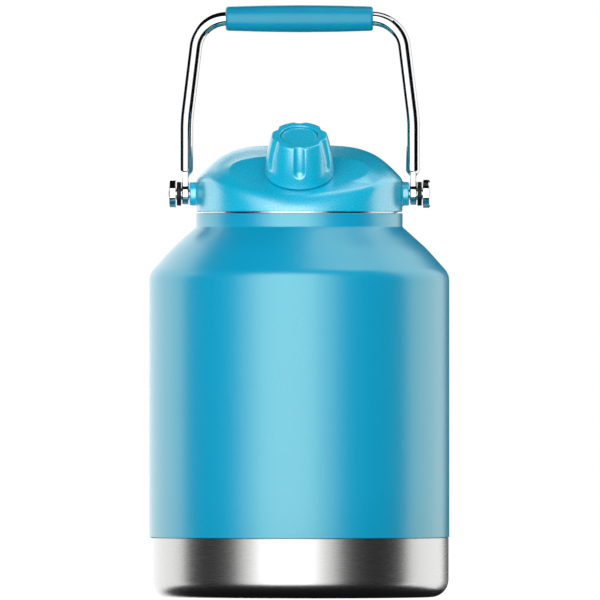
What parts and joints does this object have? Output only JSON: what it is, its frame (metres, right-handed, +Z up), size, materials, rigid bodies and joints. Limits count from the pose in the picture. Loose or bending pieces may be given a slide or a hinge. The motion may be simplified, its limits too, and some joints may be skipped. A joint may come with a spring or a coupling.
{
  "type": "water jug",
  "caption": "Large insulated steel water jug with a screw lid, a swinging carry handle and a tilted drinking spout under a fluted screw cap.",
  "frame": {"origin": "centre of the base, on the surface it stands on", "axes": "+Z up, the spout leans towards -Y, the handle's pivots lie along X"},
  "size_m": [0.17, 0.17, 0.3354],
  "materials": {
    "powder_coat": "satin",
    "brushed_steel": "satin",
    "plain_steel": "satin",
    "lid_plastic": "satin",
    "grip_plastic": "satin",
    "silicone": "matte",
    "foam": "matte",
    "chrome": "polished",
    "black_nylon": "satin",
    "brass": "satin"
  },
  "bodies": {
    "jug": {"outer_shell": "powder_coat", "base_cup": "brushed_steel", "bottom_plate": "brushed_steel", "vacuum_plug": "plain_steel", "getter_capsule": "plain_steel", "inner_liner": "plain_steel"},
    "lid_seal": {"lid_gasket": "silicone"},
    "lid": {"lid_shell": "lid_plastic", "lid_plug": "lid_plastic", "lid_insulation": "foam", "spout": "lid_plastic", "insert_nut_right": "brass", "insert_nut_left": "brass", "pivot_bush_right": "plain_steel", "pivot_bush_left": "plain_steel", "pivot_washer_right": "black_nylon", "pivot_washer_left": "black_nylon", "pivot_bolt_right": "chrome", "pivot_bolt_left": "chrome"},
    "handle": {"handle_bail": "chrome", "handle_grip": "grip_plastic"},
    "cap_seal": {"cap_gasket": "silicone"},
    "cap": {"cap_shell": "lid_plastic", "cap_disc": "lid_plastic", "cap_insert": "lid_plastic"}
  },
  "joints": [
    {"name": "lid_rise", "type": "slide", "parent": "jug", "child": "lid_seal", "axis": [0, 0, 1], "range_m": [0, 0.0241]},
    {"name": "lid_turn", "type": "hinge", "parent": "lid_seal", "child": "lid", "pos_m": [0, 0, 0.2187], "axis": [0, 0, 1], "range_deg": [0, 1080]},
    {"name": "handle_swing", "type": "hinge", "parent": "lid", "child": "handle", "pos_m": [0, 0, 0.2285], "axis": [1, 0, 0], "range_deg": [-112, 112]},
    {"name": "cap_rise", "type": "slide", "parent": "lid", "child": "cap_seal", "axis": [0, -0.5, 0.866], "range_m": [0, 0.0151]},
    {"name": "cap_turn", "type": "hinge", "parent": "cap_seal", "child": "cap", "pos_m": [0, -0.0329, 0.2397], "axis": [0, -0.5, 0.866], "range_deg": [0, 1080]}
  ],
  "couplings": [
    {"joint": "lid_rise", "follows": "lid_turn", "m_per_rad": 0.0012732},
    {"joint": "cap_rise", "follows": "cap_turn", "m_per_rad": 0.00079577}
  ]
}
